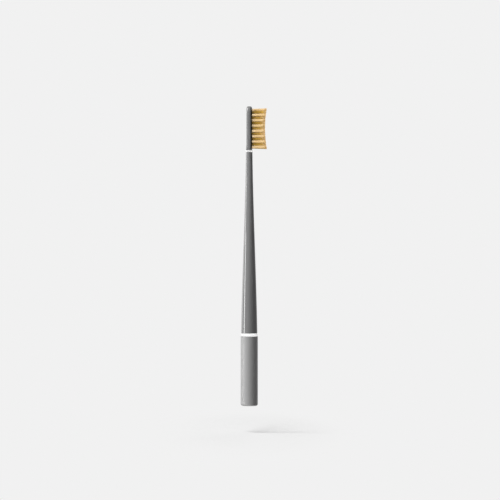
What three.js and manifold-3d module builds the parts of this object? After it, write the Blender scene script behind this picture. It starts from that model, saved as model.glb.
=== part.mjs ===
// Slim manual toothbrush: a screw-on base, a tapered handle and a replaceable brush head.
// Millimetres. +Z runs from the foot to the toe of the head, +X is where the bristles point,
// and the origin is the centre of the foot.
import * as THREE from "three";
import { mergeGeometries, mergeVertices } from "three/addons/utils/BufferGeometryUtils.js";
import Module from "manifold-3d";

const wasm = await Module();
wasm.setup();

// Base and its tapped hole
const BASE_DIAMETER = 11;
const BASE_LENGTH = 44.4;
const FOOT_ROUNDING = 1.2;
const RIM_CHAMFER = 0.25;
const COLLAR_WALL = 0.9;
const THREAD_DIAMETER = 6;
const THREAD_LENGTH = 9;
const THREAD_RELIEF = 1.2;

// Lower ring and the seal inside it
const BASE_RING_DIAMETER = 10.8;
const BASE_RING_HEIGHT = 2;
const RING_ROUNDING = 0.28;
const BASE_SEAL_SECTION = 0.9;
const BASE_SEAL_GROOVE_DEPTH = 0.4;

// Handle
const HANDLE_LENGTH = 116;
const HANDLE_END_DIAMETER = 10.5;
const HANDLE_LOWER_PULL_DIAMETER = 9.2;
const HANDLE_UPPER_PULL_DIAMETER = 4.9;
const NECK_DIAMETER = 4.1;
const HANDLE_EDGE_ROUNDING = 0.2;
const HANDLE_WALL = 1.5;
const CORE_WEB = 8;
const STUD_PLUG_DIAMETER = 7;
const STUD_PLUG_LENGTH = 11;
const STUD_CHAMFER = 0.5;

// Upper ring, and the head's shank in the neck
const NECK_RING_DIAMETER = 4.5;
const NECK_RING_HEIGHT = 1.2;
const NECK_WALL = 0.7;
const SHANK_LENGTH = 15;
const SHANK_KEY_LENGTH = 5;
const SHANK_KEY_THICKNESS = 1.8;
const SHANK_SEAL_SECTION = 0.5;
const SHANK_SEAL_DEPTH = 3;

// Head plate
const HEAD_LENGTH = 28.1;
const HEAD_WIDTH = 12.4;
const HEAD_THICKNESS = 3.65;
const HEEL_ROUNDING = 2.2;
const HEEL_DIAMETER = 4.3;
const HEEL_TAPER = 5;
const BACK_ROUNDING = 1.8;
const FACE_ROUNDING = 1.6;
const TOE_EDGE_ROUNDING = 0.6;
const HEEL_EDGE_ROUNDING = 0.15;
const RIM_WIDTH = 0.2;

// Bristle field
const TOE_MARGIN = 2.4;
const HEEL_MARGIN = 1.9;
const ROW_PITCH = 3.4;
const COLUMN_PITCH = 1.7;
const TUFT_DIAMETER = 1.6;
const TUFT_DEPTH = 2.6;
const BRISTLE_LENGTH = 9.4;
const TRIM_DIP = 1.1;
const STRANDS_PER_TUFT = 12;
const STRAND_DIAMETER = 0.26;
const TUFT_SPREAD = 0.35;
const BACKING_THICKNESS = 0.5;
const ANCHOR_THICKNESS = 0.25;
const ANCHOR_LENGTH = 2.1;
const ANCHOR_HEIGHT = 1.2;

// Clearances
const SEAT_GAP = 0.05;
const SLIDE_GAP = 0.08;
const THREAD_GAP = 0.1;
const TUFT_GAP = 0.08;

// Facets round each turned piece
const TURN_FACETS = 32;
const SMALL_TURN_FACETS = 24;
const HOLE_FACETS = 6;

// Heights of the stack of pieces, counted from the foot
const baseRingBottom = BASE_LENGTH + SEAT_GAP;
const handleBottom = baseRingBottom + BASE_RING_HEIGHT + SEAT_GAP;
const neckRingBottom = handleBottom + HANDLE_LENGTH + SEAT_GAP;
const headHeel = neckRingBottom + NECK_RING_HEIGHT + SEAT_GAP;

// Sizes that neighbouring pieces share
const baseRadius = BASE_DIAMETER / 2;
const threadRadius = THREAD_DIAMETER / 2;
const tappedRadius = threadRadius + THREAD_GAP;
const collarRadius = tappedRadius + COLLAR_WALL;
const collarTop = handleBottom - BASE_SEAL_SECTION - 2 * SEAT_GAP;
const studEnd = collarTop - THREAD_LENGTH;
const baseGrooveRadius = threadRadius - BASE_SEAL_GROOVE_DEPTH;
const baseSealInner = baseGrooveRadius + SEAT_GAP;
const baseSealOuter = baseSealInner + BASE_SEAL_SECTION;
const socketRadius = NECK_DIAMETER / 2 - NECK_WALL;
const shankRadius = socketRadius - SLIDE_GAP;
const shankInNeck = SHANK_LENGTH - (headHeel - neckRingBottom);
const keyHalf = SHANK_KEY_THICKNESS / 2;
const headHalfWidth = HEAD_WIDTH / 2;
const headFace = HEAD_THICKNESS / 2;
const seatSideInset = FACE_ROUNDING + RIM_WIDTH;
const seatToeInset = TOE_EDGE_ROUNDING + RIM_WIDTH;
const seatHeelInset = HEEL_EDGE_ROUNDING + RIM_WIDTH;
const tuftRadius = TUFT_DIAMETER / 2;
const holeRadius = tuftRadius + TUFT_GAP;
const tuftRoot = headFace - TUFT_DEPTH;
const backingUnderside = headFace - BACKING_THICKNESS;

const headPlastic = new THREE.MeshStandardMaterial({ color: 0x7f7f7f, roughness: 0.45, metalness: 0 });
const handlePlastic = new THREE.MeshStandardMaterial({ color: 0x7c7c7d, roughness: 0.12, metalness: 0 });
const baseLacquer = new THREE.MeshStandardMaterial({ color: 0xacacac, roughness: 0.55, metalness: 0 });
const ringWhite = new THREE.MeshStandardMaterial({ color: 0xf6f6f4, roughness: 0.4, metalness: 0 });
const bristleNylon = new THREE.MeshStandardMaterial({ color: 0xe9c690, roughness: 0.4, metalness: 0 });
const anchorBrass = new THREE.MeshStandardMaterial({ color: 0xb9974f, roughness: 0.35, metalness: 1 });
const sealRubber = new THREE.MeshStandardMaterial({ color: 0xdcdcd8, roughness: 0.7, metalness: 0 });
const studSteel = new THREE.MeshStandardMaterial({ color: 0xb4b6b8, roughness: 0.3, metalness: 1 });

// A geometry as a solid that can be joined and cut
function solidOf(geometry) {
  const bare = new THREE.BufferGeometry();
  bare.setAttribute("position", geometry.getAttribute("position"));
  bare.setIndex(geometry.index);
  const merged = mergeVertices(bare, 1e-4);
  const vertProperties = merged.getAttribute("position").array;
  const triVerts = new Uint32Array(merged.index.array);
  return new wasm.Manifold(new wasm.Mesh({ numProp: 3, vertProperties, triVerts }));
}

// A joined or cut solid as a geometry
function geometryOf(solid) {
  const made = solid.getMesh();
  const geometry = new THREE.BufferGeometry();
  geometry.setAttribute("position", new THREE.BufferAttribute(made.vertProperties, 3));
  geometry.setIndex(new THREE.BufferAttribute(made.triVerts, 1));
  return geometry;
}

function addPiece(group, name, geometry, material) {
  const piece = new THREE.Mesh(geometry, material);
  piece.name = name;
  group.add(piece);
  return piece;
}

// Turns a profile of radius and height pairs round the Z axis
function turned(profile, facets) {
  const points = profile.map(([radius, height]) => new THREE.Vector2(radius, height));
  return new THREE.LatheGeometry(points, facets).rotateX(Math.PI / 2);
}

// Quarter of a circle from one angle to another, as radius and height pairs
function arcProfile(radius, height, rounding, fromAngle, toAngle, steps) {
  return Array.from({ length: steps + 1 }, (_, step) => {
    const angle = fromAngle + ((toAngle - fromAngle) * step) / steps;
    return [radius + rounding * Math.cos(angle), height + rounding * Math.sin(angle)];
  });
}

// Round seal of one section, centred on the given height
function sealRing(innerRadius, section, height, facets) {
  const ring = new THREE.TorusGeometry(innerRadius + section / 2, section / 2, 8, facets);
  return ring.translate(0, 0, height);
}

// Extrudes an outline of width and length pairs along X
function slabAlongX(outline, fromX, toX) {
  const shape = new THREE.Shape(outline.map(([y, z]) => new THREE.Vector2(y, z)));
  const slab = new THREE.ExtrudeGeometry(shape, { depth: toX - fromX, bevelEnabled: false });
  const turn = new THREE.Matrix4().makeBasis(
    new THREE.Vector3(0, 1, 0),
    new THREE.Vector3(0, 0, 1),
    new THREE.Vector3(1, 0, 0),
  );
  return slab.applyMatrix4(turn).translate(fromX, 0, 0);
}

// Cylinder along X between two depths of the head
function rodAlongX(radius, fromX, toX, y, z, facets) {
  const rod = new THREE.CylinderGeometry(radius, radius, toX - fromX, facets);
  return rod.rotateZ(-Math.PI / 2).translate((fromX + toX) / 2, y, z);
}

function boxBetween(low, high) {
  const size = high.map((value, axis) => value - low[axis]);
  const middle = high.map((value, axis) => (value + low[axis]) / 2);
  return new THREE.BoxGeometry(...size).translate(...middle);
}

// The foot's edge is rounded, and a collar on top carries the lower ring
function makeBase() {
  const footRound = arcProfile(
    baseRadius - FOOT_ROUNDING,
    FOOT_ROUNDING,
    FOOT_ROUNDING,
    -Math.PI / 2,
    0,
    6,
  );
  const holeBottom = studEnd - THREAD_RELIEF;
  return turned(
    [
      [0, 0],
      ...footRound,
      [baseRadius, BASE_LENGTH - RIM_CHAMFER],
      [baseRadius - RIM_CHAMFER, BASE_LENGTH],
      [collarRadius, BASE_LENGTH],
      [collarRadius, collarTop],
      [tappedRadius, collarTop],
      [tappedRadius, holeBottom],
      [0, holeBottom - tappedRadius * Math.tan(Math.PI / 6)],
    ],
    TURN_FACETS,
  );
}

// Outer side of a ring with its two rounded edges
function ringSide(outer, height) {
  const middle = outer - RING_ROUNDING;
  const top = height - RING_ROUNDING;
  return [
    ...arcProfile(middle, RING_ROUNDING, RING_ROUNDING, -Math.PI / 2, 0, 3),
    ...arcProfile(middle, top, RING_ROUNDING, 0, Math.PI / 2, 3),
  ];
}

// The ring's stepped bore sits on the base's collar and clears the seal
function makeBaseRing() {
  const onCollar = collarRadius + SLIDE_GAP;
  const overSeal = baseSealOuter + SLIDE_GAP;
  const step = collarTop - baseRingBottom + SEAT_GAP;
  return turned(
    [
      [onCollar, 0],
      ...ringSide(BASE_RING_DIAMETER / 2, BASE_RING_HEIGHT),
      [overSeal, BASE_RING_HEIGHT],
      [overSeal, step],
      [onCollar, step],
      [onCollar, 0],
    ],
    TURN_FACETS,
  );
}

// Heights in the handle are counted from its lower end
const studPlugRadius = STUD_PLUG_DIAMETER / 2;
const sealMiddle = collarTop - handleBottom + SEAT_GAP + BASE_SEAL_SECTION / 2;

// The plug is fixed in the handle, and the thread below it carries the base
function makeStud() {
  const end = studEnd - handleBottom;
  const grooveBottom = collarTop - handleBottom;
  return turned(
    [
      [0, end],
      [threadRadius - STUD_CHAMFER, end],
      [threadRadius, end + STUD_CHAMFER],
      [threadRadius, grooveBottom],
      [baseGrooveRadius, grooveBottom],
      [baseGrooveRadius, 0],
      [studPlugRadius, SEAT_GAP],
      [studPlugRadius, STUD_PLUG_LENGTH - STUD_CHAMFER],
      [studPlugRadius - STUD_CHAMFER, STUD_PLUG_LENGTH],
      [0, STUD_PLUG_LENGTH],
    ],
    SMALL_TURN_FACETS,
  );
}

// Outer line of the handle: a slow curve from the wide end to the neck
function handleOutline(steps) {
  const third = HANDLE_LENGTH / 3;
  const curve = new THREE.CubicBezierCurve(
    new THREE.Vector2(HANDLE_END_DIAMETER / 2, 0),
    new THREE.Vector2(HANDLE_LOWER_PULL_DIAMETER / 2, third),
    new THREE.Vector2(HANDLE_UPPER_PULL_DIAMETER / 2, 2 * third),
    new THREE.Vector2(NECK_DIAMETER / 2, HANDLE_LENGTH),
  );
  return curve.getPoints(steps).map((point) => [point.x, point.y]);
}

// A flat-sided end that keeps the shank from turning in its socket
function keyOutline(gap) {
  const half = keyHalf + gap;
  const radius = shankRadius + gap;
  const corner = Math.asin(Math.min(half / radius, 1));
  const side = (middle) =>
    Array.from({ length: 9 }, (_, step) => {
      const angle = middle - corner + (2 * corner * step) / 8;
      return new THREE.Vector2(radius * Math.sin(angle), radius * Math.cos(angle));
    });
  return [...side(0), ...side(Math.PI)].reverse();
}

function keyPrism(gap, fromZ, toZ) {
  const shape = new THREE.Shape(keyOutline(gap));
  const prism = new THREE.ExtrudeGeometry(shape, { depth: toZ - fromZ, bevelEnabled: false });
  return prism.translate(0, 0, fromZ);
}

// Hollow from below for the stud and the moulding core, and from above for the shank
function makeHandle() {
  const outline = handleOutline(16);
  const shankEnd = HANDLE_LENGTH - shankInNeck;
  const roundSocketBottom = shankEnd + SHANK_KEY_LENGTH;
  const socketBottom = shankEnd - SEAT_GAP;
  const coreTop = socketBottom - CORE_WEB;
  const coreBottom = STUD_PLUG_LENGTH + SEAT_GAP;
  const plugBore = studPlugRadius + SLIDE_GAP;
  const core = outline
    .filter(([, height]) => height > coreBottom && height < coreTop)
    .map(([radius, height]) => [Math.min(radius - HANDLE_WALL, plugBore), height]);
  const coreTip = core[core.length - 1][0];
  const coreFoot = core[0][0];
  const lowerEdge = arcProfile(
    HANDLE_END_DIAMETER / 2 - HANDLE_EDGE_ROUNDING,
    HANDLE_EDGE_ROUNDING,
    HANDLE_EDGE_ROUNDING,
    -Math.PI / 2,
    0,
    3,
  );
  const shell = turned(
    [
      [0, coreTop],
      [coreTip, coreTop],
      ...core.reverse(),
      [coreFoot, coreBottom],
      [plugBore, coreBottom],
      [plugBore, 0],
      ...lowerEdge,
      ...outline.slice(1),
      [socketRadius, HANDLE_LENGTH],
      [socketRadius, roundSocketBottom],
      [0, roundSocketBottom],
    ],
    TURN_FACETS,
  );
  const keyway = keyPrism(SLIDE_GAP, socketBottom, roundSocketBottom + SEAT_GAP);
  return geometryOf(solidOf(shell).subtract(solidOf(keyway)));
}

function makeNeckRing() {
  const bore = shankRadius + SLIDE_GAP;
  return turned(
    [
      [bore, 0],
      ...ringSide(NECK_RING_DIAMETER / 2, NECK_RING_HEIGHT),
      [bore, NECK_RING_HEIGHT],
      [bore, 0],
    ],
    TURN_FACETS,
  );
}

// Heights in the head are counted from its heel
const toeCentre = HEAD_LENGTH - headHalfWidth;
const shankSealOuter = socketRadius - SEAT_GAP;
const shankSealInner = shankSealOuter - SHANK_SEAL_SECTION;
const shankSealHeight = shankInNeck - SHANK_LENGTH - SHANK_SEAL_DEPTH;

// Outline of the plate seen from the bristle side, drawn in at its sides, its toe and its heel
function headOutline(sideInset, toeInset, heelInset) {
  const corner = headHalfWidth - HEEL_ROUNDING;
  const toeSize = [headHalfWidth - sideInset, headHalfWidth - toeInset];
  const heelSize = [HEEL_ROUNDING - sideInset, HEEL_ROUNDING - heelInset];
  const arcs = [
    [new THREE.EllipseCurve(0, toeCentre, ...toeSize, 0, Math.PI), 18],
    [new THREE.EllipseCurve(-corner, HEEL_ROUNDING, ...heelSize, Math.PI, 1.5 * Math.PI), 5],
    [new THREE.EllipseCurve(corner, HEEL_ROUNDING, ...heelSize, 1.5 * Math.PI, 2 * Math.PI), 5],
  ];
  return arcs.flatMap(([arc, steps]) => arc.getPoints(steps).map((point) => [point.x, point.y]));
}

// Skin over sections of equal point count, closed at both ends by a fan
function loft(sections) {
  const count = sections[0].length;
  const positions = sections.flat(2);
  const faces = [];
  const last = sections.length - 1;
  for (let row = 0; row < last; row += 1) {
    for (let column = 0; column < count; column += 1) {
      const next = (column + 1) % count;
      const [a, b] = [row * count + column, row * count + next];
      const [c, d] = [a + count, b + count];
      faces.push(a, b, d, a, d, c);
    }
  }
  for (let column = 1; column < count - 1; column += 1) {
    faces.push(0, column + 1, column);
    faces.push(last * count, last * count + column, last * count + column + 1);
  }
  const geometry = new THREE.BufferGeometry();
  geometry.setAttribute("position", new THREE.Float32BufferAttribute(positions, 3));
  geometry.setIndex(faces);
  return geometry;
}

// How far a rounded edge has drawn in at a depth below the plate's flat side
function edgeInset(depth, rounding) {
  const left = Math.max(rounding - depth, 0);
  return rounding - Math.sqrt(rounding * rounding - left * left);
}

// Section of the plate at a depth below its back or its face
function plateSection(x, depth, sideRounding) {
  const outline = headOutline(
    edgeInset(depth, sideRounding),
    edgeInset(depth, TOE_EDGE_ROUNDING),
    edgeInset(depth, HEEL_EDGE_ROUNDING),
  );
  return outline.map(([y, z]) => [x, y, z]);
}

// Plate with full, round sides and tighter edges at the toe and the heel
function headPlate() {
  const steps = 6;
  const shares = Array.from({ length: steps + 1 }, (_, step) => {
    return 1 - Math.cos(((step / steps) * Math.PI) / 2);
  });
  const back = shares.map((share) => {
    const depth = BACK_ROUNDING * share;
    return plateSection(-headFace + depth, depth, BACK_ROUNDING);
  });
  const face = shares.map((share) => {
    const depth = FACE_ROUNDING * share;
    return plateSection(headFace - depth, depth, FACE_ROUNDING);
  });
  return loft([...back, ...face.reverse()]);
}

// The plate's back swells towards the heel, to meet the ring
function heelFlare() {
  const cone = turned(
    [
      [0, 0],
      [HEEL_DIAMETER / 2, 0],
      [headFace, HEEL_TAPER],
      [0, HEEL_TAPER],
    ],
    TURN_FACETS,
  );
  const behindFace = boxBetween([-HEAD_WIDTH, -HEAD_WIDTH, -1], [headFace, HEAD_WIDTH, HEEL_TAPER + 1]);
  return solidOf(cone).intersect(solidOf(behindFace));
}

// Round shank with a groove for its seal and a flat-sided end, from the heel down
function headShank() {
  const grooveHalf = SHANK_SEAL_SECTION / 2 + SEAT_GAP;
  const grooveRadius = shankSealInner - SEAT_GAP;
  const keyTop = -SHANK_LENGTH + SHANK_KEY_LENGTH + SEAT_GAP;
  const rootInHead = HEEL_ROUNDING / 2;
  const round = turned(
    [
      [0, keyTop],
      [shankRadius, keyTop],
      [shankRadius, shankSealHeight - grooveHalf],
      [grooveRadius, shankSealHeight - grooveHalf],
      [grooveRadius, shankSealHeight + grooveHalf],
      [shankRadius, shankSealHeight + grooveHalf],
      [shankRadius, rootInHead],
      [0, rootInHead],
    ],
    SMALL_TURN_FACETS,
  );
  const key = keyPrism(0, -SHANK_LENGTH, keyTop + SEAT_GAP);
  return solidOf(round).add(solidOf(key));
}

// A tuft has a place where its hole lies inside the seat of the bristle backing
function fitsOnHead(y, z) {
  const across = Math.abs(y);
  const corner = headHalfWidth - HEEL_ROUNDING;
  const sideRoom = seatSideInset + holeRadius;
  const toeRoom = seatToeInset + holeRadius;
  const heelRoom = seatHeelInset + holeRadius;
  const inOval = (fromCentre, alongCentre, size, endRoom) =>
    Math.hypot(fromCentre / (size - sideRoom), alongCentre / (size - endRoom)) <= 1;
  if (across > headHalfWidth - sideRoom || z < heelRoom) {
    return false;
  }
  if (z > toeCentre) {
    return inOval(across, z - toeCentre, headHalfWidth, toeRoom);
  }
  if (z < HEEL_ROUNDING && across > corner) {
    return inOval(across - corner, z - HEEL_ROUNDING, HEEL_ROUNDING, heelRoom);
  }
  return true;
}

// Staggered columns of tufts, each counted from the toe
function tuftPlaces() {
  const sideColumns = Math.floor((headHalfWidth - seatSideInset - holeRadius) / COLUMN_PITCH);
  const rows = 1 + Math.floor((HEAD_LENGTH - TOE_MARGIN - HEEL_MARGIN) / ROW_PITCH);
  const places = [];
  for (let column = -sideColumns; column <= sideColumns; column += 1) {
    const staggered = Math.abs(column) % 2 === 1;
    const inColumn = staggered ? rows - 1 : rows;
    const stagger = staggered ? ROW_PITCH / 2 : 0;
    for (let row = 0; row < inColumn; row += 1) {
      const y = column * COLUMN_PITCH;
      const z = HEAD_LENGTH - TOE_MARGIN - stagger - row * ROW_PITCH;
      if (fitsOnHead(y, z)) {
        places.push({ y, z, side: Math.trunc(column / sideColumns) });
      }
    }
  }
  return places;
}

const tufts = tuftPlaces();
const fieldTop = Math.max(...tufts.map((tuft) => tuft.z)) + tuftRadius;
const fieldBottom = Math.min(...tufts.map((tuft) => tuft.z)) - tuftRadius;
const fieldMiddle = (fieldTop + fieldBottom) / 2;
const fieldHalf = (fieldTop - fieldBottom) / 2;
const middleBand = Math.max(...tufts.filter((tuft) => tuft.side === 0).map((tuft) => tuft.y));
const bandEdge = middleBand + COLUMN_PITCH / 2;

// Bristle ends are trimmed to a hollow arc along the head
function trimHeight(z) {
  const along = (z - fieldMiddle) / fieldHalf;
  return headFace + BRISTLE_LENGTH - TRIM_DIP * (1 - along * along);
}

// Slot round one anchor, open towards the bottom of the tuft's hole
function anchorSlot(tuft, gap) {
  const halfThickness = ANCHOR_THICKNESS / 2 + gap;
  const halfLength = ANCHOR_LENGTH / 2 + gap;
  return boxBetween(
    [tuftRoot - 2 * TUFT_GAP, tuft.y - halfThickness, tuft.z - halfLength],
    [tuftRoot + ANCHOR_HEIGHT + gap, tuft.y + halfThickness, tuft.z + halfLength],
  );
}

// Plate, flare and shank, with a shallow seat for the bristle backing, tuft holes and anchor slots
function makeHead() {
  const seatOutline = headOutline(seatSideInset, seatToeInset, seatHeelInset);
  const seat = slabAlongX(seatOutline, backingUnderside - SEAT_GAP, headFace + 1);
  const holes = tufts.map((tuft) =>
    rodAlongX(holeRadius, tuftRoot - TUFT_GAP, headFace, tuft.y, tuft.z, HOLE_FACETS),
  );
  const slots = tufts.map((tuft) => anchorSlot(tuft, TUFT_GAP));
  const body = solidOf(headPlate()).add(heelFlare()).add(headShank());
  const cut = solidOf(mergeGeometries(holes)).add(solidOf(mergeGeometries(slots)));
  return geometryOf(body.subtract(solidOf(seat)).subtract(cut));
}

// Strands of one tuft: spread over its circle, leaning out a little towards their tips
function tuftStrands(tuft) {
  const strandRadius = STRAND_DIAMETER / 2;
  const goldenAngle = Math.PI * (3 - Math.sqrt(5));
  const rootX = headFace - BACKING_THICKNESS / 2;
  return Array.from({ length: STRANDS_PER_TUFT }, (_, index) => {
    const share = Math.sqrt((index + 0.5) / STRANDS_PER_TUFT);
    const reach = share * (tuftRadius - strandRadius);
    const direction = index * goldenAngle;
    const outward = new THREE.Vector3(0, Math.cos(direction), Math.sin(direction));
    const root = new THREE.Vector3(rootX, tuft.y, tuft.z).addScaledVector(outward, reach);
    const tip = root.clone().addScaledVector(outward, share * TUFT_SPREAD);
    tip.x = trimHeight(tip.z);
    return strandBetween(root, tip, strandRadius);
  });
}

function strandBetween(root, tip, radius) {
  const along = tip.clone().sub(root);
  const strand = new THREE.CylinderGeometry(radius, radius, along.length(), 3);
  const upright = new THREE.Vector3(0, 1, 0);
  const turn = new THREE.Quaternion().setFromUnitVectors(upright, along.normalize());
  const middle = root.clone().add(tip).multiplyScalar(0.5);
  return strand.applyQuaternion(turn).translate(middle.x, middle.y, middle.z);
}

// One band of tufts on its strip of backing, with the folded roots astride their anchors
function makeTufts(side) {
  const own = tufts.filter((tuft) => tuft.side === side);
  const insets = [seatSideInset, seatToeInset, seatHeelInset].map((inset) => inset + SEAT_GAP);
  const outline = headOutline(...insets);
  const backing = slabAlongX(outline, backingUnderside, headFace);
  const inner = bandEdge - SEAT_GAP;
  const outer = bandEdge + SEAT_GAP;
  const fromY = side === 0 ? -inner : Math.min(side * outer, side * HEAD_WIDTH);
  const toY = side === 0 ? inner : Math.max(side * outer, side * HEAD_WIDTH);
  const band = boxBetween([0, fromY, -1], [headFace + 1, toY, HEAD_LENGTH + 1]);
  const roots = own.map((tuft) =>
    rodAlongX(tuftRadius, tuftRoot, headFace - BACKING_THICKNESS / 2, tuft.y, tuft.z, HOLE_FACETS),
  );
  const slots = own.map((tuft) => anchorSlot(tuft, TUFT_GAP));
  const strands = own.flatMap((tuft) => tuftStrands(tuft));
  const strip = solidOf(backing).intersect(solidOf(band));
  const rooted = strip.add(solidOf(mergeGeometries(roots)));
  const astride = rooted.subtract(solidOf(mergeGeometries(slots)));
  return geometryOf(astride.add(solidOf(mergeGeometries(strands))));
}

const base = new THREE.Group();
addPiece(base, "base", makeBase(), baseLacquer);
addPiece(base, "base_ring", makeBaseRing(), ringWhite).position.z = baseRingBottom;

const handle = new THREE.Group();
handle.position.z = handleBottom;
addPiece(handle, "handle_shell", makeHandle(), handlePlastic);
addPiece(handle, "base_stud", makeStud(), studSteel);
const baseSeal = sealRing(baseSealInner, BASE_SEAL_SECTION, sealMiddle, SMALL_TURN_FACETS);
addPiece(handle, "base_seal", baseSeal, sealRubber);

const head = new THREE.Group();
head.position.z = headHeel;
addPiece(head, "neck_ring", makeNeckRing(), ringWhite).position.z = neckRingBottom - headHeel;
const shankSeal = sealRing(shankSealInner, SHANK_SEAL_SECTION, shankSealHeight, SMALL_TURN_FACETS);
addPiece(head, "shank_seal", shankSeal, sealRubber);
addPiece(head, "head_plate", makeHead(), headPlastic);
addPiece(head, "tufts_left", makeTufts(-1), bristleNylon);
addPiece(head, "tufts_middle", makeTufts(0), bristleNylon);
addPiece(head, "tufts_right", makeTufts(1), bristleNylon);
tufts.forEach((tuft, index) => {
  const anchor = new THREE.BoxGeometry(ANCHOR_HEIGHT, ANCHOR_THICKNESS, ANCHOR_LENGTH);
  const name = "tuft_anchor_" + String(index + 1).padStart(2, "0");
  const piece = addPiece(head, name, anchor, anchorBrass);
  piece.position.set(tuftRoot + ANCHOR_HEIGHT / 2, tuft.y, tuft.z);
});

const toothbrush = new THREE.Group();
toothbrush.name = "toothbrush";
toothbrush.add(base, handle, head);

export default toothbrush;
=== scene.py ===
import math
import random

import bpy
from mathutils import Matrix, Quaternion, Vector


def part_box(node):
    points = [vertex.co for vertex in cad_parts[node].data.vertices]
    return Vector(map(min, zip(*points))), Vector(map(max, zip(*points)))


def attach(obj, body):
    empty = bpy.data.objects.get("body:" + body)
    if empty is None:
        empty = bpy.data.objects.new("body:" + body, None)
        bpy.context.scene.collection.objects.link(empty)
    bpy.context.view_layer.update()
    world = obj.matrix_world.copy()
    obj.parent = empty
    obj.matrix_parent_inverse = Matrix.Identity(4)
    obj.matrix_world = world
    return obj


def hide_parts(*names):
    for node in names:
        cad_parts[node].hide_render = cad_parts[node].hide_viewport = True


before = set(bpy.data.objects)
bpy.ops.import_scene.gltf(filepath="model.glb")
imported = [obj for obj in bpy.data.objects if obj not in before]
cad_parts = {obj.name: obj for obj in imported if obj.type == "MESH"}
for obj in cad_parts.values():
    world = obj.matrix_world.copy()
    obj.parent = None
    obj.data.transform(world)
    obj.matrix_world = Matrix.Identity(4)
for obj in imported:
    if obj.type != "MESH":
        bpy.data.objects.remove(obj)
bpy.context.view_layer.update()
mm = 0.001
seatGap = 0.05  # between pieces that rest on each other, in mm like every size below
slideGap = 0.08  # between pieces that slide
tiny = 1e-6  # a size below this counts as nothing
print("frame loaded")


# Mesh helpers

def clamp(value):
    return min(1, max(0, value))


def plainMesh(name, points, faces):
    mesh = bpy.data.meshes.new(name)
    mesh.from_pydata(points, [], faces)
    mesh.update()
    piece = bpy.data.objects.new(name, mesh)
    bpy.context.scene.collection.objects.link(piece)
    return piece


def dress(piece, material, sharpAngle=32):  # smooth shading that keeps flats flat and edges crisp
    piece.data.shade_smooth()
    piece.data.set_sharp_from_angle(angle=math.radians(sharpAngle))
    piece.data.materials.clear()
    piece.data.materials.append(material)
    piece.modifiers.new("evenNormals", "WEIGHTED_NORMAL").keep_sharp = True
    return piece


def newPiece(name, points, faces, material):
    return dress(plainMesh(name, points, faces), material)


def standFor(piece, body, slotName, *nodes):
    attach(piece, body)
    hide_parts(*nodes)


def boxOf(node):  # corners in mm
    low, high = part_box(node)
    return low / mm, high / mm


def circle(radius, height, facets):  # radius in mm, or a function of the angle
    ring = []
    for step in range(facets):
        angle = 2 * math.pi * step / facets
        reach = radius(angle) if callable(radius) else radius
        ring.append((reach * mm * math.cos(angle), reach * mm * math.sin(angle), height * mm))
    return ring


def skinRings(rings, closed=False):  # a ring of one point is a pole
    points, starts = [], []
    for ring in rings:
        starts.append(len(points))
        points.extend(ring)
    faces = []
    count = len(rings)
    for row in range(count if closed else count - 1):
        nextRow = (row + 1) % count
        low, high = rings[row], rings[nextRow]
        size = max(len(low), len(high))
        for step in range(size):
            after = (step + 1) % size
            a, b = starts[row] + step, starts[row] + after
            c, d = starts[nextRow] + after, starts[nextRow] + step
            if len(low) == 1:
                faces.append((starts[row], c, d))
            elif len(high) == 1:
                faces.append((a, b, starts[nextRow]))
            else:
                faces.append((a, b, c, d))
    return points, faces


def softLine(corners, closed=False, steps=5):  # corners are (radius, height, rounding)
    most = 0.49  # the share of a side that one rounding may take, so that two never meet
    line = []
    count = len(corners)
    for index, (x, y, rounding) in enumerate(corners):
        inner = closed or 0 < index < count - 1
        if not inner or rounding == 0:
            line.append((x, y))
            continue
        here = Vector((x, y))
        before = Vector(corners[index - 1][:2]) - here
        after = Vector(corners[(index + 1) % count][:2]) - here
        half = before.angle(after) / 2
        back = min(rounding / math.tan(half), before.length * most, after.length * most)
        radius = back * math.tan(half)
        inward = (before.normalized() + after.normalized()).normalized()
        centre = here + inward * (radius / math.sin(half))
        first = here + before.normalized() * back - centre
        last = here + after.normalized() * back - centre
        sweep = -first.angle_signed(last)
        for step in range(steps + 1):
            turn = sweep * step / steps
            cosine, sine = math.cos(turn), math.sin(turn)
            line.append((centre.x + first.x * cosine - first.y * sine,
                         centre.y + first.x * sine + first.y * cosine))
    return line


def turnLine(line, facets):  # turns (radius, height) pairs round the brush's axis
    return [[(0, 0, y * mm)] if x < tiny else circle(x, y, facets) for x, y in line]


# Materials

noiseLook = {"grainDetail": 3.0, "cloudDetail": 2.0, "low": 0.3, "high": 0.7}  # most of it is in low to high


def newMaterial(name):
    material = bpy.data.materials.new(name)
    material.use_nodes = True
    nodes = material.node_tree.nodes
    return material, nodes, material.node_tree.links, nodes["Principled BSDF"]


def grainOf(nodes, links, scale, detail, stretch=(1, 1, 1)):
    place = nodes.new("ShaderNodeTexCoord")
    spread = nodes.new("ShaderNodeMapping")
    spread.inputs["Scale"].default_value = stretch
    noise = nodes.new("ShaderNodeTexNoise")
    noise.inputs["Scale"].default_value = scale
    noise.inputs["Detail"].default_value = detail
    links.new(place.outputs["Object"], spread.inputs["Vector"])
    links.new(spread.outputs["Vector"], noise.inputs["Vector"])
    return noise.outputs["Fac"]


def rampOf(nodes, links, source, low, high):
    ramp = nodes.new("ShaderNodeMapRange")
    ramp.inputs["From Min"].default_value = noiseLook["low"]
    ramp.inputs["From Max"].default_value = noiseLook["high"]
    ramp.inputs["To Min"].default_value = low
    ramp.inputs["To Max"].default_value = high
    links.new(source, ramp.inputs["Value"])
    return ramp.outputs["Result"]


def tintOf(nodes, links, source, dark, light):
    mix = nodes.new("ShaderNodeMix")
    mix.data_type = "RGBA"
    mix.inputs["A"].default_value = (*dark, 1)
    mix.inputs["B"].default_value = (*light, 1)
    links.new(source, mix.inputs["Factor"])
    return mix.outputs["Result"]


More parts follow.
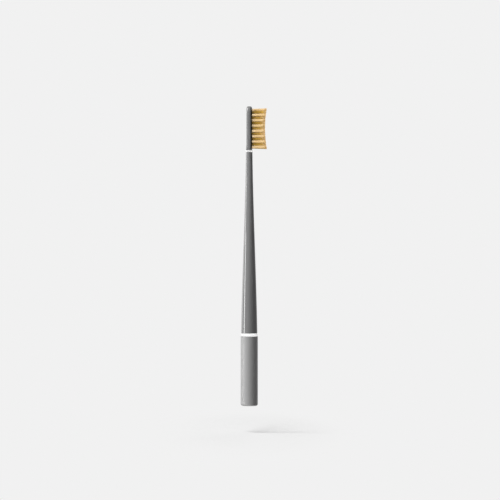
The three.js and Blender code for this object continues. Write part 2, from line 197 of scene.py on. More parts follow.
def paintedFaceShade(nodes, links, colour, face):  # painted shade on the plate's bristle side, above the heel: partly a darker face, mostly darkened to stand for the shade of the bristles beside it
    place = nodes.new("ShaderNodeTexCoord")
    split = nodes.new("ShaderNodeSeparateXYZ")
    links.new(place.outputs["Object"], split.inputs["Vector"])
    both = nodes.new("ShaderNodeMath")
    both.operation = "MULTIPLY"
    heel = boxOf("neck_ring")[1].z
    spans = (("X", face["from"], face["to"]), ("Z", heel, heel + face["heelFade"]))
    for index, (axis, start, end) in enumerate(spans):
        ramp = nodes.new("ShaderNodeMapRange")
        ramp.interpolation_type = "SMOOTHSTEP"
        ramp.inputs["From Min"].default_value = start * mm
        ramp.inputs["From Max"].default_value = end * mm
        links.new(split.outputs[axis], ramp.inputs["Value"])
        links.new(ramp.outputs["Result"], both.inputs[index])
    mix = nodes.new("ShaderNodeMix")
    mix.data_type = "RGBA"
    mix.inputs["B"].default_value = (face["tone"], face["tone"], face["tone"], 1)
    links.new(both.outputs["Value"], mix.inputs["Factor"])
    links.new(colour, mix.inputs["A"])
    return mix.outputs["Result"]


def bumpOf(nodes, links, source, strength, height):
    bump = nodes.new("ShaderNodeBump")
    bump.inputs["Strength"].default_value = strength
    bump.inputs["Distance"].default_value = height * mm
    links.new(source, bump.inputs["Height"])
    return bump.outputs["Normal"]


def surfaceMaterial(name, look):
    material, nodes, links, shader = newMaterial(name)
    stretch = look.get("stretch", (1, 1, 1))
    grain = grainOf(nodes, links, look["grainScale"], noiseLook["grainDetail"], stretch)
    cloud = grainOf(nodes, links, look["cloudScale"], noiseLook["cloudDetail"])
    colour = tintOf(nodes, links, cloud, look["dark"], look["light"])
    # painted shade on the head's bristle side
    if "face" in look:
        colour = paintedFaceShade(nodes, links, colour, look["face"])
    links.new(colour, shader.inputs["Base Color"])
    links.new(rampOf(nodes, links, grain, *look["roughness"]), shader.inputs["Roughness"])
    links.new(bumpOf(nodes, links, grain, look["bump"], look["bumpHeight"]), shader.inputs["Normal"])
    for socket, value in look.get("shader", {}).items():
        shader.inputs[socket].default_value = value
    return material


looks = {
    "handle": {  # polished, with the faint pull of the moulding along it
        "dark": (0.126, 0.126, 0.127), "light": (0.136, 0.136, 0.137), "roughness": (0.32, 0.40),
        "grainScale": 900, "stretch": (1, 1, 0.1), "cloudScale": 60, "bump": 0.02, "bumpHeight": 0.02,
        "shader": {"Metallic": 0.55, "Coat Weight": 1.0, "Coat Roughness": 0.05, "Coat IOR": 2.1},
    },
    "base": {  # fine satin lacquer
        "dark": (0.440, 0.440, 0.440), "light": (0.470, 0.470, 0.470), "roughness": (0.43, 0.53),
        "grainScale": 5200, "cloudScale": 90, "bump": 0.12, "bumpHeight": 0.02,
        "shader": {"Metallic": 0.88},
    },
    "head": {  # satin moulding
        "dark": (0.210, 0.210, 0.210), "light": (0.230, 0.230, 0.230), "roughness": (0.50, 0.60),
        "grainScale": 4200, "cloudScale": 120, "bump": 0.08, "bumpHeight": 0.02,
        "shader": {"Metallic": 0.75, "Coat Weight": 0.5, "Coat Roughness": 0.12},
        # painted shade: the bristle side goes nearly black, partly a darker face and mostly the shade the
        # bristles cast
        "face": {"tone": 0.009, "from": 0.4, "to": 1.3, "heelFade": 0.15},
    },
    "ring": {  # smooth white silicone
        "dark": (0.90, 0.90, 0.895), "light": (0.93, 0.93, 0.925), "roughness": (0.40, 0.50),
        "grainScale": 3600, "cloudScale": 200, "bump": 0.05, "bumpHeight": 0.02,
        "shader": {"Coat Weight": 1.0, "Coat Roughness": 0.1},
    },
    "seal": {
        "dark": (0.62, 0.62, 0.59), "light": (0.68, 0.68, 0.65), "roughness": (0.5, 0.65),
        "grainScale": 4000, "cloudScale": 300, "bump": 0.08, "bumpHeight": 0.02,
    },
    "steel": {  # turned, so the marks run round it
        "dark": (0.44, 0.45, 0.46), "light": (0.50, 0.51, 0.52), "roughness": (0.22, 0.34),
        "grainScale": 2600, "stretch": (0.2, 0.2, 2), "cloudScale": 400, "bump": 0.06, "bumpHeight": 0.01,
        "shader": {"Metallic": 1.0},
    },
    "brass": {
        "dark": (0.46, 0.30, 0.08), "light": (0.52, 0.35, 0.11), "roughness": (0.28, 0.4),
        "grainScale": 3000, "cloudScale": 600, "bump": 0.08, "bumpHeight": 0.01,
        "shader": {"Metallic": 1.0},
    },
}
handleGloss = surfaceMaterial("handleGloss", looks["handle"])
baseMatt = surfaceMaterial("baseMatt", looks["base"])
headSatin = surfaceMaterial("headSatin", looks["head"])
ringWhite = surfaceMaterial("ringWhite", looks["ring"])
sealPale = surfaceMaterial("sealPale", looks["seal"])
studSteel = surfaceMaterial("studSteel", looks["steel"])
anchorBrass = surfaceMaterial("anchorBrass", looks["brass"])

bristleLook = {  # tones run from deep shade to full light
    "tones": ((0, (0.09, 0.05, 0.01)), (0.36, (0.56, 0.35, 0.06)), (0.8, (0.80, 0.58, 0.31)),
              (1, (0.95, 0.77, 0.50))),
    "roughness": (0.40, 0.54), "streakScale": 9000, "streakStretch": (0.05, 1, 1),
    "shader": {"Specular IOR Level": 0.25},
}


def bristleMaterial(look):
    material, nodes, links, shader = newMaterial("bristleNylon")
    # the base colour is painted shade and light, read from the shade attribute through the ramp
    shade = nodes.new("ShaderNodeAttribute")
    shade.attribute_name = "shade"
    ramp = nodes.new("ShaderNodeValToRGB")
    stops = ramp.color_ramp.elements
    for place, _ in look["tones"][1:-1]:
        stops.new(place)
    for stop, (place, tone) in zip(stops, look["tones"]):
        stop.position, stop.color = place, (*tone, 1)
    links.new(shade.outputs["Fac"], ramp.inputs["Fac"])
    links.new(ramp.outputs["Color"], shader.inputs["Base Color"])
    streak = grainOf(nodes, links, look["streakScale"], noiseLook["cloudDetail"], look["streakStretch"])
    links.new(rampOf(nodes, links, streak, *look["roughness"]), shader.inputs["Roughness"])
    for socket, value in look["shader"].items():
        shader.inputs[socket].default_value = value
    return material


bristleNylon = bristleMaterial(bristleLook)
print("materials ready")


# Screw thread shared by the stud and the base

thread = {"radius": 3.0, "lead": 2.0, "starts": 2, "rootDepth": 0.42, "play": 0.06, "step": 0.05,
          "fade": 8, "crest": 0.25, "flank": 0.25}  # crest and flank are shares of the pitch


def threadCrest(angle, z):  # 0 at the root, 1 at the crest of a right-hand thread
    turn = thread["starts"] * (z / thread["lead"] - angle / (2 * math.pi))
    share = turn - math.floor(turn)
    return clamp((thread["crest"] / 2 + thread["flank"] - abs(share - 0.5)) / thread["flank"])


# Base: a turned foot with a soft lower edge and a tapped hole

baseSizes = {"facets": 96, "edgeSteps": 8, "footRounding": 1.2, "rimChamfer": 0.1, "edgeRounding": 0.06,
             "collarRadius": 4.0, "mouthChamfer": 0.3, "runOut": 0.4, "drillDepth": 0.8, "drillTip": 1.7}


def makeBase():
    facets = baseSizes["facets"]
    radius = boxOf("base")[1].x
    collarTop = boxOf("base")[1].z
    rim = boxOf("base_ring")[0].z - seatGap
    bore = thread["radius"] + thread["play"]
    collar = baseSizes["collarRadius"]
    chamfer = baseSizes["rimChamfer"]
    soft = baseSizes["edgeRounding"]
    mouth = baseSizes["mouthChamfer"]
    outside = softLine([
        (0, 0, 0),
        (radius, 0, baseSizes["footRounding"]),
        (radius, rim - chamfer, soft),
        (radius - chamfer, rim, soft),
        (collar, rim, 0),
        (collar, collarTop, soft),
        (bore + mouth, collarTop, 0),
    ], steps=baseSizes["edgeSteps"])
    rings = turnLine(outside, facets)
    top = collarTop - mouth
    bottom = boxOf("base_stud")[0].z - baseSizes["runOut"]
    levels = int((top - bottom) / thread["step"])
    for level in range(levels + 1):
        z = top - level * thread["step"]
        depth = thread["rootDepth"] * min(1, level / thread["fade"], (levels - level) / thread["fade"])
        rings.append(circle(lambda angle: bore - depth * (1 - threadCrest(angle, z)), z, facets))
    drill = bottom - baseSizes["drillDepth"]
    rings += turnLine([
        (bore, bottom - thread["step"]),
        (bore, drill),
        (0, drill - baseSizes["drillTip"]),
    ], facets)
    piece = newPiece("base_foot", *skinRings(rings), baseMatt)
    standFor(piece, "base", "base_lacquer", "base")


makeBase()
print("base done")


# White rings with soft edges, and the two seals

ringSizes = {"facets": 96, "softEdge": 0.16, "boreEdge": 0.1}
sealSizes = {"facets": 72, "steps": 20}
socketRadius = boxOf("shank_seal")[1].x + seatGap


def makeRing(name, node, body, bore):  # bore is the ring's inner line, from its top down
    low, high = boxOf(node)
    soft, fine = ringSizes["softEdge"], ringSizes["boreEdge"]
    corners = [
        (bore[-1][0], low.z, fine),
        (high.x, low.z, soft),
        (high.x, high.z, soft),
        (bore[0][0], high.z, fine),
    ]
    corners += [(radius, z, 0) for radius, z in bore[1:-1]]
    rings = turnLine(softLine(corners, closed=True), ringSizes["facets"])
    piece = newPiece(name, *skinRings(rings, closed=True), ringWhite)
    standFor(piece, body, "ring_white", node)


def baseRingBore():  # wide over the base's collar, narrow over the seal
    onCollar = baseSizes["collarRadius"] + slideGap
    overSeal = boxOf("base_seal")[1].x + slideGap
    step = boxOf("base")[1].z + seatGap
    return [(overSeal, 0), (overSeal, step), (onCollar, step), (onCollar, 0)]


def makeSeal(name, node, body):
    low, high = boxOf(node)
    section = (high.z - low.z) / 2
    centre = (high.x - section, low.z + section)
    line = []
    for step in range(sealSizes["steps"]):
        angle = 2 * math.pi * step / sealSizes["steps"]
        line.append((centre[0] + section * math.cos(angle), centre[1] + section * math.sin(angle)))
    piece = newPiece(name, *skinRings(turnLine(line, sealSizes["facets"]), closed=True), sealPale)
    standFor(piece, body, "seal_rubber", node)


makeRing("base_ring_white", "base_ring", "base_ring", baseRingBore())
makeRing("neck_ring_white", "neck_ring", "head", [(socketRadius, 0), (socketRadius, 0)])
makeSeal("base_seal_ring", "base_seal", "handle")
makeSeal("shank_seal_ring", "shank_seal", "head")
print("rings done")


# Handle: a polished shell, hollow from both ends

handleSizes = {"facets": 128, "steps": 96, "edgeSteps": 6, "lowerPull": 9.2, "upperPull": 5.25, "neck": 4.25,
               "endEdge": 0.2, "neckEdge": 0.15, "mouthEdge": 0.1, "mouthDepth": 1, "wall": 1.5,
               "plugBore": 3.58, "plugDepth": 11.05, "coreWeb": 8.0}


def handleRadius(share):  # the slow curve from the wide end to the neck
    end = 2 * boxOf("handle_shell")[1].x
    widths = (end, handleSizes["lowerPull"], handleSizes["upperPull"], handleSizes["neck"])
    back = 1 - share
    weights = (back ** 3, 3 * back * back * share, 3 * back * share * share, share ** 3)
    return sum(weight * width for weight, width in zip(weights, widths)) / 2


def makeHandle():
    low, high = boxOf("handle_shell")
    bottom, top = low.z, high.z
    steps = handleSizes["steps"]
    skin = []
    for step in range(steps + 1):
        skin.append((handleRadius(step / steps), bottom + (top - bottom) * step / steps))
    plugBore = handleSizes["plugBore"]
    lower = softLine([
        (plugBore, bottom, 0),
        (skin[0][0], bottom, handleSizes["endEdge"]),
        (*skin[1], 0),
    ], steps=handleSizes["edgeSteps"])
    upper = softLine([
        (*skin[-2], 0),
        (skin[-1][0], top, handleSizes["neckEdge"]),
        (socketRadius, top, handleSizes["mouthEdge"]),
        (socketRadius, top - handleSizes["mouthDepth"], 0),
    ], steps=handleSizes["edgeSteps"])
    socketBottom = boxOf("head_plate")[0].z - seatGap
    coreTop = socketBottom - handleSizes["coreWeb"]
    coreBottom = bottom + handleSizes["plugDepth"]
    hollow = [(radius - handleSizes["wall"], z) for radius, z in skin if coreBottom < z < coreTop]
    core = [(min(radius, plugBore), z) for radius, z in hollow]
    inside = [(0, coreTop), (core[-1][0], coreTop), *reversed(core), (plugBore, coreBottom)]
    socket = [(socketRadius, socketBottom), (0, socketBottom)]
    line = [*inside, *lower[:-1], *skin[2:-1], *upper[1:], *socket]
    piece = newPiece("handle_body", *skinRings(turnLine(line, handleSizes["facets"])), handleGloss)
    standFor(piece, "handle", "handle_gloss", "handle_shell")


makeHandle()
print("handle done")


# Stud: a steel plug in the handle with a two-start thread below it

studSizes = {"facets": 96, "plugRadius": 3.5, "grooveRadius": 2.6, "point": 0.7, "chamfer": 0.5,
             "shoulder": 0.6}


def makeStud():
    low, high = boxOf("base_stud")
    handleBottom = boxOf("handle_shell")[0].z
    collarTop = boxOf("base")[1].z
    facets, radius = studSizes["facets"], thread["radius"]
    groove, plug = studSizes["grooveRadius"], studSizes["plugRadius"]
    pointRadius = radius - studSizes["point"]
    rings = turnLine([(0, low.z), (pointRadius, low.z)], facets)
    levels = int((collarTop - studSizes["shoulder"] - low.z) / thread["step"])
    for level in range(1, levels + 1):
        rise = level * thread["step"]
        room = min(radius, pointRadius + rise)
        fade = min(1, (levels - level) / thread["fade"])

        def reach(angle):
            return min(room, radius - thread["rootDepth"] * (1 - fade * threadCrest(angle, low.z + rise)))

        rings.append(circle(reach, low.z + rise, facets))
    upper = softLine([
        (groove, collarTop - studSizes["shoulder"] + seatGap, 0),
        (groove, handleBottom - seatGap / 2, 0),
        (plug, handleBottom + seatGap, seatGap),
        (plug, high.z, studSizes["chamfer"]),
        (0, high.z, 0),
    ])
    rings += turnLine(upper, facets)
    piece = newPiece("stud_thread", *skinRings(rings), studSteel)
    standFor(piece, "handle", "stud_steel", "base_stud")


makeStud()
print("stud done")


# Head: a soft-edged plate with tuft holes, and a shank with a flat-sided end

headSizes = {"toeSteps": 72, "heelSteps": 18, "edgeSteps": 14, "heelRounding": 1.1, "heelSpread": 0.6,
             "backRounding": 1.8, "faceRounding": 1.6, "toeEdge": 1.3, "heelEdge": 0.15,
             "holeRadius": 0.86, "holeDepth": 2.6, "holeLip": 0.1, "holeSides": 28}
swellSizes = {"radius": 2.15, "taper": 5.0, "half": 4.0, "sides": 40, "steps": 14,
              "under": 0.02, "edge": 0.2, "edgeShare": 0.5, "fall": 1.6, "narrowing": 0.4}
shankSizes = {"sides": 72, "keyHalf": 0.9, "keyLength": 5.0, "endChamfer": 0.25, "grooveHalf": 0.3,
              "lip": 0.06, "sealSection": 0.5, "rootInHead": 1.1}
anchorNodes = sorted(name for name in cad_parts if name.startswith("tuft_anchor_"))
tuftPlaces = [sum(boxOf(name), Vector()) / 2 for name in anchorNodes]
headLow, headHigh = boxOf("head_plate")
headFace, headHalf, headToe = headHigh.x, headHigh.y, headHigh.z
headHeel = boxOf("neck_ring")[1].z + seatGap


def headOutline(sideInset, toeInset, heelInset):  # (y, z) pairs, drawn in at the sides, toe and heel
    rounding = headSizes["heelRounding"] + headSizes["heelSpread"] * sideInset
    corner = headHalf - rounding
    arcs = (  # centre, size, inset, first quarter, quarters and steps of each arc
        (0, headToe - headHalf, headHalf, toeInset, 0, 2, headSizes["toeSteps"]),
        (-corner, headHeel + rounding, rounding, heelInset, 2, 1, headSizes["heelSteps"]),
        (corner, headHeel + rounding, rounding, heelInset, 3, 1, headSizes["heelSteps"]),
    )
    outline = []
    for y, z, size, endInset, first, quarters, steps in arcs:
        for step in range(steps + 1):
            angle = math.pi / 2 * (first + quarters * step / steps)
            across = (size - sideInset) * math.cos(angle)
            along = (size - endInset) * math.sin(angle)
            outline.append((y + across, z + along))
    return outline


def edgeInset(depth, rounding):
    left = max(rounding - depth, 0)
    return rounding - math.sqrt(rounding * rounding - left * left)


def headSection(x, depth, sideRounding):
    outline = headOutline(edgeInset(depth, sideRounding), edgeInset(depth, headSizes["toeEdge"]),
                          edgeInset(depth, headSizes["heelEdge"]))
    return [(x * mm, y * mm, z * mm) for y, z in outline]


def cutOrJoin(piece, tool, operation):  # works the tool into the piece and drops the tool
    step = piece.modifiers.new("step", "BOOLEAN")
    step.operation = operation
    step.solver = "EXACT"
    step.object = tool
    made = bpy.data.meshes.new_from_object(piece.evaluated_get(bpy.context.evaluated_depsgraph_get()))
    piece.modifiers.clear()
    piece.data = made
    bpy.data.objects.remove(tool)


def crossRing(x, y, z, radius, sides):  # a ring round a line that runs out from the head's face
    ring = []
    for side in range(sides):
        turn = 2 * math.pi * side / sides
        ring.append((x * mm, (y + radius * math.cos(turn)) * mm, (z + radius * math.sin(turn)) * mm))
    return ring


def capped(rings):  # a skin over rings, closed by one flat face at each end
    points, faces = skinRings(rings)
    first, last = len(rings[0]), len(rings[-1])
    faces.append(tuple(reversed(range(first))))
    faces.append(tuple(range(len(points) - last, len(points))))
    return points, faces


def plateSolid():
    steps = headSizes["edgeSteps"]
    shares = [1 - math.cos(math.pi / 2 * step / steps) for step in range(steps + 1)]
    back, face = headSizes["backRounding"], headSizes["faceRounding"]
    sections = [headSection(-headFace + back * share, back * share, back) for share in shares]
    sections += [headSection(headFace - face * share, face * share, face) for share in reversed(shares)]
    return plainMesh("head_body", *capped(sections))


def swellSolid():  # the back swells softly towards the heel, to meet the ring
    steps, sides, taper = swellSizes["steps"], swellSizes["sides"], swellSizes["taper"]
    swell = swellSizes["radius"] - headFace
    under, edge = swellSizes["under"], swellSizes["edge"]  # its root in the plate, and its soft lower edge
    stations = [(under, swellSizes["edgeShare"])]
    for step in range(steps + 1):
        height = edge + (taper - edge) * step / steps
        stations.append((height, (1 - step / steps) ** swellSizes["fall"]))
    rings = []
    for height, share in stations:
        half = swellSizes["half"] * (1 - swellSizes["narrowing"] * height / taper)
        line = [(headFace / 2, -half), (headFace / 2, half)]
        for side in range(sides + 1):
            across = 1 - 2 * side / sides
            bump = math.cos(math.pi / 2 * across) ** 2
            line.append((headFace - under + (swell * share + under) * bump, half * across))
        rings.append([(-x * mm, y * mm, (headHeel + height) * mm) for x, y in line])
    return plainMesh("swell", *capped(rings))


def shankSolid():
    end = headLow.z
    sides, half = shankSizes["sides"], shankSizes["grooveHalf"]
    lip, chamfer = shankSizes["lip"], shankSizes["endChamfer"]
    radius = socketRadius - slideGap
    groove = boxOf("shank_seal")[1].x - shankSizes["sealSection"] - seatGap
    middle = sum(corner.z for corner in boxOf("shank_seal")) / 2
    keyTop = end + shankSizes["keyLength"]
    rings = []
    for reach, z in ((radius - chamfer, end), (radius, end + chamfer), (radius, keyTop)):

        def flatSided(angle):
            across = abs(math.cos(angle))
            return min(reach, shankSizes["keyHalf"] / across) if across > tiny else reach

        rings.append(circle(flatSided, z, sides))
    rings += turnLine([
        (radius, keyTop + seatGap),
        (radius, middle - half - lip),
        (radius - lip, middle - half),
        (groove, middle - half),
        (groove, middle + half),
        (radius - lip, middle + half),
        (radius, middle + half + lip),
        (radius, headHeel + shankSizes["rootInHead"]),
    ], sides)
    return plainMesh("shank", *capped(rings))


def holeCutters():  # one drill for each tuft, with a small lip at the face
    points, faces = [], []
    radius, lip, sides = headSizes["holeRadius"], headSizes["holeLip"], headSizes["holeSides"]
    line = (
        (radius, headFace - headSizes["holeDepth"]),
        (radius, headFace - lip),
        (radius + lip, headFace),
        (radius + lip, headFace + lip),
    )
    for place in tuftPlaces:
        rings = [crossRing(x, place.y, place.z, reach, sides) for reach, x in line]
        drillPoints, drillFaces = capped(rings)
        faces += [tuple(len(points) + corner for corner in face) for face in drillFaces]
        points += drillPoints
    return plainMesh("drills", points, faces)


def makeHead():
    piece = plateSolid()
    cutOrJoin(piece, swellSolid(), "UNION")
    cutOrJoin(piece, shankSolid(), "UNION")
    cutOrJoin(piece, holeCutters(), "DIFFERENCE")
    dress(piece, headSatin)
    standFor(piece, "head", "head_satin", "head_plate")


makeHead()
print("head done")


# Bristles: fine filaments fanned out of every hole and trimmed to a hollow arc

bristles = {
    "perTuft": 46, "diameter": 0.2, "sides": 5, "segments": 5, "seed": 11,
    "rootRadius": 0.72, "tipRadius": 1.08, "rootDepth": 1.6, "bow": 1.35, "stray": 0.02,
    "headingSpread": 0.1, "length": 9.4, "dip": 1.1, "fieldMargin": 0.8, "trimShort": 0.1, "trimLong": 0.04,
    "tipShoulder": 0.35, "shoulderRadius": 0.76, "endRadius": 0.3,  # shares of the strand's radius
    "coreSides": 14, "coreSteps": 6, "coreShare": 0.93, "coreEnd": 1.3,
}
bristleTones = {  # places on the ramp of bristleLook, and reaches in mm; with them strandShade paints shade and light into the strands' colour
    "clear": 0.8, "inner": 0.40, "tuftSpread": 0.064, "strandSpread": 0.04,
    "rootFade": 0.8, "tipFade": 3.2, "tipLift": 0.5, "fall": 0.04, "rootLight": 0.32, "rootLightReach": 1.6,
    "underShade": 0.15, "toeUnder": 0.5, "toeShade": 0.15, "clearStep": 2.5,
}
tuftHeights = [place.z for place in tuftPlaces]
fieldMiddle = (max(tuftHeights) + min(tuftHeights)) / 2
fieldHalf = (max(tuftHeights) - min(tuftHeights)) / 2 + bristles["fieldMargin"]
fieldWidth = max(place.y for place in tuftPlaces)
outerTop = max(place.z for place in tuftPlaces if place.y == fieldWidth)
clearHeight = outerTop + bristleTones["clearStep"]  # nothing stands in front of the tufts above this


def trimHeight(z):
    along = (z - fieldMiddle) / fieldHalf
    return headFace + bristles["length"] - bristles["dip"] * (1 - along * along)


def filament(root, lean, tipX):  # a bowed strand with a rounded tip
    segments, radius = bristles["segments"], bristles["diameter"] / 2
    length = tipX - root.x
    tipShare = radius / length
    stations = [(step / segments, radius) for step in range(segments)]
    stations += [
        (1 - tipShare, radius),
        (1 - bristles["tipShoulder"] * tipShare, radius * bristles["shoulderRadius"]),
        (1, radius * bristles["endRadius"]),
    ]
    rings = []
    for share, size in stations:
        out = share ** bristles["bow"]
        rings.append(crossRing(root.x + length * share, root.y + lean[0] * out, root.z + lean[1] * out,
                               size, bristles["sides"]))
    return capped(rings)


def tuftCore(place):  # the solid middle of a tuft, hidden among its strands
    start = headFace - bristles["rootDepth"]
    end = trimHeight(place.z) - bristles["coreEnd"]
    rings = []
    widening = bristles["tipRadius"] - bristles["rootRadius"]
    for step in range(bristles["coreSteps"] + 1):
        share = step / bristles["coreSteps"]
        radius = (bristles["rootRadius"] + widening * share ** bristles["bow"]) * bristles["coreShare"]
        x = start + (end - start) * share
        rings.append(crossRing(x, place.y, place.z, radius, bristles["coreSides"]))
    return capped(rings)


def strandShade(point, place, tone, hidden, tip):  # painted shade and light: hidden strands are dark at the root, where the tufts in front shade them, and light at the tip; clear strands are lighter at the root and a little darker towards the tip; the lower side of each tuft is darker
    out = point[0] / mm - headFace
    rise = clamp(out / bristleTones["rootFade"])
    # painted light: the hidden strands grow lighter over the last reach before the tip
    lift = max(0, 1 - (tip - headFace - out) / bristleTones["tipFade"]) * bristleTones["tipLift"]
    # painted light on the roots of the clear strands
    glow = bristleTones["rootLight"] * max(0, 1 - max(0, out) / bristleTones["rootLightReach"])
    clear = tone + glow - bristleTones["fall"] * max(0, out) / bristles["length"]
    # painted shade on the lower side of each tuft, stronger on the toe's own tufts
    depth = bristleTones["toeUnder" if place.z > clearHeight else "underShade"]
    under = clamp((place.z - point[2] / mm) / bristles["tipRadius"]) * depth
    return clamp(clear * (1 - hidden) + (tone * rise + lift) * hidden - under)


def makeBristles(name, node):
    bandLow, bandHigh = boxOf(node)
    places = [place for place in tuftPlaces if bandLow.y < place.y < bandHigh.y]
    rng = random.Random(bristles["seed"] + len(places))
    points, faces, shades = [], [], []

    def add(strand, place, tone, hidden, tip):
        strandPoints, strandFaces = strand
        faces.extend(tuple(len(points) + corner for corner in face) for face in strandFaces)
        points.extend(strandPoints)
        shades.extend(strandShade(point, place, tone, hidden, tip) for point in strandPoints)

    goldenAngle = math.pi * (3 - math.sqrt(5))
    for place in places:
        hidden = min(1, 2 - 2 * abs(place.y) / fieldWidth)  # the columns behind the outer ones, which get a lower tone as painted shade
        if place.z > clearHeight:
            hidden = 0
        # painted shade on the hidden tufts above the top of the outer columns
        shaded = bristleTones["toeShade"] if hidden and place.z > outerTop else 0
        tone = bristleTones["clear"] + (bristleTones["inner"] - bristleTones["clear"]) * hidden
        tone += rng.uniform(-bristleTones["tuftSpread"], 0) - shaded
        turn = rng.uniform(0, 2 * math.pi)
        add(tuftCore(place), place, tone, hidden, trimHeight(place.z))
        for index in range(bristles["perTuft"]):
            share = math.sqrt((index + 0.5) / bristles["perTuft"])
            angle = index * goldenAngle + turn
            reach = share * bristles["rootRadius"]
            root = Vector((headFace - bristles["rootDepth"], place.y + reach * math.cos(angle),
                           place.z + reach * math.sin(angle)))
            spread = share * (bristles["tipRadius"] - bristles["rootRadius"])
            heading = angle + rng.gauss(0, bristles["headingSpread"])
            lean = (spread * math.cos(heading) + rng.gauss(0, bristles["stray"]),
                    spread * math.sin(heading) + rng.gauss(0, bristles["stray"]))
            uneven = rng.uniform(-bristles["trimShort"], bristles["trimLong"])
            tip = min(trimHeight(root.z + lean[1]) + uneven, bandHigh.x)
            strandTone = tone + rng.gauss(0, bristleTones["strandSpread"])
            add(filament(root, lean, tip), place, strandTone, hidden, tip)
    piece = newPiece(name, points, faces, bristleNylon)
    piece.data.attributes.new("shade", "FLOAT", "POINT").data.foreach_set("value", shades)
    standFor(piece, "head", "bristle_nylon", node)


makeBristles("bristles_left", "tufts_left")
makeBristles("bristles_middle", "tufts_middle")
makeBristles("bristles_right", "tufts_right")
for anchorName in anchorNodes:
    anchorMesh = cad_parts[anchorName].data
    anchorMesh.materials.clear()
    anchorMesh.materials.append(anchorBrass)
print("bristles done")


# Floor, sky and lamps, in metres and watts

stageSizes = {"floorHeight": -0.0172, "floorRadius": 3.0, "floorFacets": 64, "pale": 0.88,
              "catch": 0.75, "catchNear": 0.05, "catchFar": 0.16, "catchShape": (2.4, 0.8, 1),
              "lit": 0.757, "bounce": 0.45, "sky": 0.2}


def seenDirectly(nodes, links):  # camera, mirror and see-through rays
    path = nodes.new("ShaderNodeLightPath")
    seen = path.outputs["Is Camera Ray"]
    for kind in ("Is Glossy Ray", "Is Transmission Ray"):
        either = nodes.new("ShaderNodeMath")
        either.operation = "MAXIMUM"
        links.new(seen, either.inputs[0])
        links.new(path.outputs[kind], either.inputs[1])
        seen = either.outputs["Value"]
    return seen


def mixOf(nodes, links, share, first, second):
    mix = nodes.new("ShaderNodeMixShader")
    links.new(share, mix.inputs["Fac"])
    links.new(first, mix.inputs[1])
    links.new(second, mix.inputs[2])
    return mix.outputs["Shader"]


def greyShader(nodes, kind, level):
    shader = nodes.new(kind)
    shader.inputs["Color"].default_value = (level, level, level, 1)
    return shader.outputs[0]


def floorMaterial():  # pale wherever it is seen, and still catching the shadow near the brush
    material, nodes, links, shader = newMaterial("floorPale")
    nodes.remove(shader)
    place = nodes.new("ShaderNodeTexCoord")
    spread = nodes.new("ShaderNodeMapping")
    spread.inputs["Scale"].default_value = stageSizes["catchShape"]
    away = nodes.new("ShaderNodeVectorMath")
    away.operation = "LENGTH"
    fade = nodes.new("ShaderNodeMapRange")
    fade.interpolation_type = "SMOOTHSTEP"
    fade.inputs["From Min"].default_value = stageSizes["catchNear"]
    fade.inputs["From Max"].default_value = stageSizes["catchFar"]
    fade.inputs["To Min"].default_value = 1 - stageSizes["catch"]
    fade.inputs["To Max"].default_value = 1.0
    links.new(place.outputs["Object"], spread.inputs["Vector"])
    links.new(spread.outputs["Vector"], away.inputs[0])
    links.new(away.outputs["Value"], fade.inputs["Value"])
    lit = greyShader(nodes, "ShaderNodeBsdfDiffuse", stageSizes["lit"])
    glow = greyShader(nodes, "ShaderNodeEmission", stageSizes["pale"])
    bounce = greyShader(nodes, "ShaderNodeBsdfDiffuse", stageSizes["bounce"])
    shown = mixOf(nodes, links, fade.outputs["Result"], lit, glow)
    whole = mixOf(nodes, links, seenDirectly(nodes, links), bounce, shown)
    links.new(whole, nodes["Material Output"].inputs["Surface"])
    return material


def makeFloor():
    height, radius = stageSizes["floorHeight"] / mm, stageSizes["floorRadius"] / mm
    points, faces = skinRings(turnLine([(0, height), (radius, height)], stageSizes["floorFacets"]))
    newPiece("floor", points, faces, floorMaterial())


def makeSky():
    world = bpy.data.worlds.new("studio")
    bpy.context.scene.world = world
    world.use_nodes = True
    nodes, links = world.node_tree.nodes, world.node_tree.links
    fill = nodes["Background"]
    fill.inputs["Color"].default_value = (1, 1, 1, 1)
    fill.inputs["Strength"].default_value = stageSizes["sky"]
    shown = greyShader(nodes, "ShaderNodeBackground", stageSizes["pale"])
    whole = mixOf(nodes, links, seenDirectly(nodes, links), fill.outputs["Background"], shown)
    links.new(whole, nodes["World Output"].inputs["Surface"])


def makeLamp(name, look):
    lamp = bpy.data.lights.new(name, "AREA")
    lamp.shape = "RECTANGLE"
    lamp.size, lamp.size_y = look["size"]
    lamp.energy = look["power"]
    holder = bpy.data.objects.new(name, lamp)
    bpy.context.scene.collection.objects.link(holder)
    side, lift = math.radians(look["side"]), math.radians(look["lift"])
    away = Vector((math.sin(side) * math.cos(lift), -math.cos(side) * math.cos(lift), math.sin(lift)))
    holder.location = Vector((0, 0, look["aim"])) + away * look["distance"]
    roll = Quaternion((0, 0, 1), math.radians(look.get("roll", 0)))
    holder.rotation_euler = (away.to_track_quat("Z", "Y") @ roll).to_euler()
    holder.visible_camera = False
    holder.visible_glossy = look.get("mirrored", True)
    holder.visible_diffuse = look.get("diffused", True)


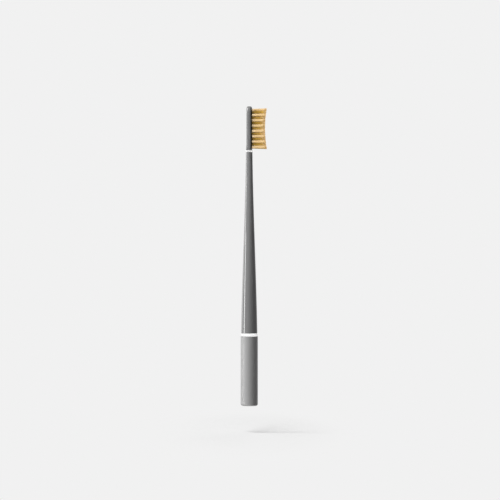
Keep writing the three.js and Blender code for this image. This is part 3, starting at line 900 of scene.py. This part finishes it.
def makeCard(look):  # a graded card round the right-hand side, which only reflections see
    points, faces, levels = [], [], []
    stops = look["stops"]
    for start, end in zip(stops, stops[1:]):
        for step in range(look["steps"]):
            degrees, low, high = Vector(start).lerp(Vector(end), step / look["steps"])
            side = math.radians(degrees)
            for radius, height, upper in look["line"]:
                points.append((radius * math.sin(side), -radius * math.cos(side), height))
                levels.append(low + (high - low) * upper)
    rows = len(look["line"])
    for column in range(0, len(points) - rows, rows):
        for low in range(column, column + rows - 1):
            faces.append((low, low + 1, low + rows + 1, low + rows))
    material, nodes, links, shader = newMaterial("cardGrey")
    nodes.remove(shader)
    tone = nodes.new("ShaderNodeAttribute")
    tone.attribute_name = "level"
    glow = nodes.new("ShaderNodeEmission")
    links.new(tone.outputs["Fac"], glow.inputs["Strength"])
    links.new(glow.outputs["Emission"], nodes["Material Output"].inputs["Surface"])
    card = plainMesh("card", points, faces)
    card.data.materials.append(material)
    card.data.attributes.new("level", "FLOAT", "POINT").data.foreach_set("value", levels)
    card.visible_camera = False
    card.visible_diffuse = False
    card.visible_transmission = False
    card.visible_shadow = False


lamps = {  # side is the angle round from the camera, lift the angle above the floor
    "keyTop": {"side": -80, "lift": 58, "distance": 1.4, "size": (0.4, 0.4), "power": 6, "aim": 0.1,
               "mirrored": False},
    "topStrip": {"side": -30, "lift": 67, "distance": 1.4, "size": (0.66, 0.2), "power": 8, "aim": 0.1,
                 "roll": -46, "mirrored": False},
    "toeSpot": {"side": -117, "lift": 52, "distance": 1.4, "size": (0.2, 0.2), "power": 5, "aim": 0.19,
                "diffused": False},
    "rimStrip": {"side": -128, "lift": 20, "distance": 1.6, "size": (0.6, 1.5), "power": 3.0, "aim": 0.1},
    "sideStrip": {"side": -76.5, "lift": -1, "distance": 1.6, "size": (0.3, 0.262), "power": 1.24,
                  "aim": 0.1},
    "neckStrip": {"side": -95, "lift": 22, "distance": 1.6, "size": (0.3, 1.11), "power": 4.4, "aim": 0.1},
    "leftFill": {"side": -45, "lift": 4, "distance": 1.5, "size": (0.8, 0.3), "power": 5.6, "aim": 0.1,
                 "mirrored": False},
    "frontFill": {"side": 35, "lift": 3, "distance": 1.5, "size": (1.2, 0.3), "power": 12.2, "aim": 0.1,
                  "mirrored": False},
    "rightFill": {"side": 92, "lift": 15, "distance": 1.5, "size": (0.8, 0.8), "power": 3.6, "aim": 0.1,
                  "mirrored": False},
    "backFill": {"side": 152, "lift": 25, "distance": 1.5, "size": (1.2, 1.2), "power": 8, "aim": 0.1,
                 "mirrored": False},
}
cardLook = {
    "steps": 8,
    "line": ((0.015, -0.0165, 0), (0.08, -0.0165, 0), (0.08, 0.05, 0), (0.08, 0.17, 1), (0.08, 0.32, 1)),
    "stops": (  # side, then the grey level low and high on the card
        (-50, 0.88, 0.88), (-20, 0.74, 0.88), (32, 0.2, 0.33), (72, 0.045, 0.045), (98, 0.045, 0.045),
        (125, 0.2, 0.2), (145, 0.5, 0.5), (148, 0.6, 1.6), (158, 0.7, 1.6), (161, 0.8, 0.8),
        (170, 0.88, 0.88),
    ),
}
makeFloor()
makeSky()
makeCard(cardLook)
for lampName, lampLook in lamps.items():
    makeLamp(lampName, lampLook)

cameraLook = {"lens": 157.3, "distance": 1.4, "x": 0.00048, "z": 0.0998}
camera = bpy.data.cameras.new("camera")
camera.lens = cameraLook["lens"]
cameraHolder = bpy.data.objects.new("camera", camera)
bpy.context.scene.collection.objects.link(cameraHolder)
cameraHolder.location = (cameraLook["x"], -cameraLook["distance"], cameraLook["z"])
cameraHolder.rotation_euler = (math.pi / 2, 0, 0)
bpy.context.scene.camera = cameraHolder
bpy.context.scene.view_settings.view_transform = "Standard"
print("stage done")
